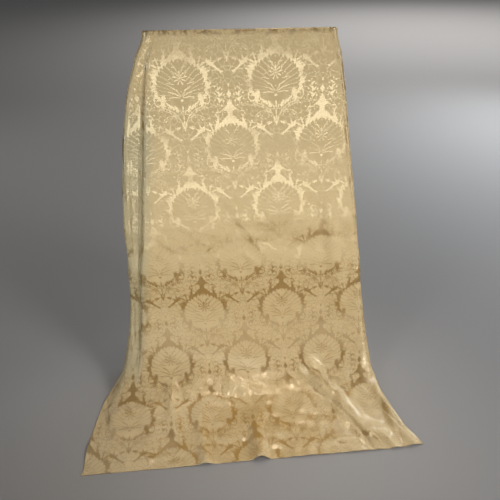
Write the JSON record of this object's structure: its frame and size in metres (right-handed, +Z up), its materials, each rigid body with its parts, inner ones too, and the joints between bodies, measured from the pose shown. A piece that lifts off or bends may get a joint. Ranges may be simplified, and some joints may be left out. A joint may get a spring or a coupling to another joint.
{
  "type": "damask curtain",
  "caption": "Woven damask curtain cloth hung by its top edge, sides turned to the back, widening to a short train on the floor.",
  "frame": {"origin": "middle of the top edge, on the top of the turn", "axes": "+Z up, +X to the viewer's right, -Y towards the viewer"},
  "size_m": [1.335, 0.829, 1.4813],
  "materials": {
    "damask": "woven damask in beige and old gold: matt flower figures on a glossy satin ground"
  },
  "bodies": {
    "root": {"curtain_cloth": "damask"}
  },
  "joints": []
}
